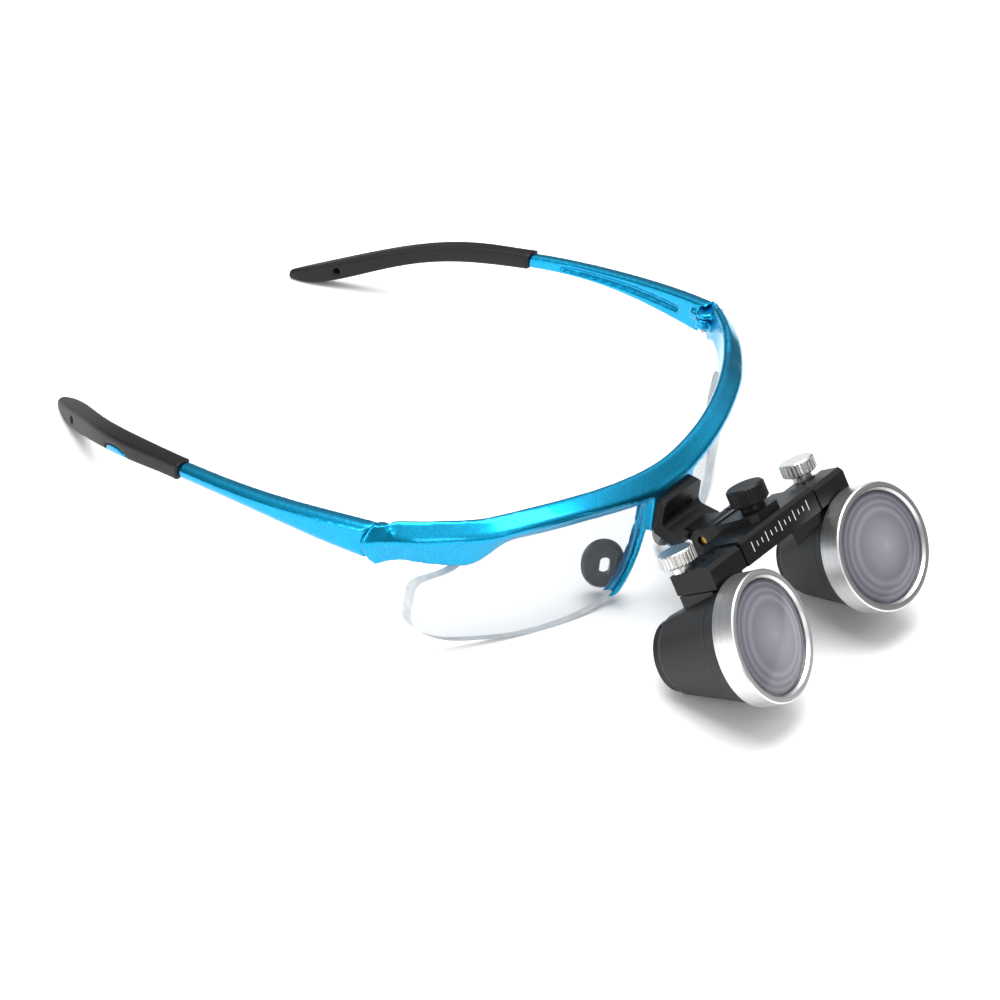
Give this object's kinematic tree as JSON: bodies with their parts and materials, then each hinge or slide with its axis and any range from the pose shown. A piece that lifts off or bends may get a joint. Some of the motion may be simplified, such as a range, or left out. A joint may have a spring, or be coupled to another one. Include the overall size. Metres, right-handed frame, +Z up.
{
  "type": "dental loupes",
  "caption": "Flip-up dental loupes: wrap-round spectacle frame with folding temples and a pair of hinged, sliding magnifying barrels on a cross bar.",
  "frame": {"origin": "middle of the bounding box's footprint, on the surface that the loupes stand on", "axes": "+X towards the wearer's left, -Y the way the front and the barrels look, +Z up"},
  "size_m": [0.1442, 0.2082, 0.0417],
  "materials": {
    "metallic_blue": "metallic lacquer over moulded plastic",
    "tip_rubber": "matt rubber",
    "clear_sheet": "clear polished plastic sheet",
    "pad_rubber": "smooth dark rubber",
    "screw_steel": "turned steel",
    "black_screw": "blackened steel",
    "black_anodised": "black anodised, satin",
    "black_knob": "black anodised, knurled",
    "bush_plastic": "bearing plastic",
    "pin_brass": "turned brass",
    "bright_metal": "bright turned and knurled",
    "bezel_aluminium": "satin turned",
    "barrel_black": "fine matt black coat",
    "coated_glass": "coated optical glass"
  },
  "bodies": {
    "spectacle_front": {"front_frame": "metallic_blue", "right_lens": "clear_sheet", "left_lens": "clear_sheet", "right_nose_pad": "pad_rubber", "left_nose_pad": "pad_rubber", "right_hinge_screw": "screw_steel", "left_hinge_screw": "screw_steel", "mount_bracket": "black_anodised", "bridge_nut_plate": "screw_steel", "mount_screws": "black_screw", "flip_pin": "pin_brass"},
    "right_temple_arm": {"right_temple": "metallic_blue", "right_temple_tip": "tip_rubber"},
    "left_temple_arm": {"left_temple": "metallic_blue", "left_temple_tip": "tip_rubber"},
    "flip_unit": {"flip_arm": "black_anodised", "right_flip_bush": "bush_plastic", "left_flip_bush": "bush_plastic", "cross_bar": "black_anodised", "rear_guide_rod": "screw_steel", "front_guide_rod": "screw_steel"},
    "bar_clamp_knob": {"centre_knob": "black_knob"},
    "right_optic": {"right_carriage": "black_anodised", "right_clamp_shoe": "pin_brass", "right_barrel_foot": "barrel_black", "right_foot_screws": "black_screw", "right_barrel_housing": "barrel_black", "right_objective_bezel": "bezel_aluminium", "right_objective_front_element": "coated_glass", "right_objective_rear_element": "coated_glass", "right_retaining_ring": "black_anodised", "right_eyepiece_lens": "coated_glass", "right_eyepiece_ring": "barrel_black"},
    "right_lock": {"right_thumb_screw": "bright_metal"},
    "left_optic": {"left_carriage": "black_anodised", "left_clamp_shoe": "pin_brass", "left_barrel_foot": "barrel_black", "left_foot_screws": "black_screw", "left_barrel_housing": "barrel_black", "left_objective_bezel": "bezel_aluminium", "left_objective_front_element": "coated_glass", "left_objective_rear_element": "coated_glass", "left_retaining_ring": "black_anodised", "left_eyepiece_lens": "coated_glass", "left_eyepiece_ring": "barrel_black"},
    "left_lock": {"left_thumb_screw": "bright_metal"}
  },
  "joints": [
    {"name": "right_temple_fold", "type": "hinge", "parent": "spectacle_front", "child": "right_temple_arm", "pos_m": [-0.0646, -0.0143, 0.03074], "axis": [0, 0, -1], "range_deg": [0, 76]},
    {"name": "left_temple_fold", "type": "hinge", "parent": "spectacle_front", "child": "left_temple_arm", "pos_m": [0.0646, -0.0143, 0.03074], "axis": [0, 0, 1], "range_deg": [0, 82]},
    {"name": "flip_up", "type": "hinge", "parent": "spectacle_front", "child": "flip_unit", "pos_m": [0, -0.0642, 0.02474], "axis": [-1, 0, 0], "range_deg": [-54, 45]},
    {"name": "bar_clamp_turn", "type": "hinge", "parent": "flip_unit", "child": "bar_clamp_knob", "pos_m": [0, -0.0685, 0.03924], "axis": [0, 0.5878, 0.809], "range_deg": [0, 360]},
    {"name": "right_pd_slide", "type": "slide", "parent": "flip_unit", "child": "right_optic", "axis": [-1, 0, 0], "range_m": [0, 0.007]},
    {"name": "right_lock_turn", "type": "hinge", "parent": "right_optic", "child": "right_lock", "pos_m": [-0.0252, -0.06735, 0.03333], "axis": [0, 0.5878, 0.809], "range_deg": [0, 360]},
    {"name": "left_pd_slide", "type": "slide", "parent": "flip_unit", "child": "left_optic", "axis": [1, 0, 0], "range_m": [0, 0.007]},
    {"name": "left_lock_turn", "type": "hinge", "parent": "left_optic", "child": "left_lock", "pos_m": [0.0252, -0.06735, 0.03333], "axis": [0, 0.5878, 0.809], "range_deg": [0, 360]}
  ]
}
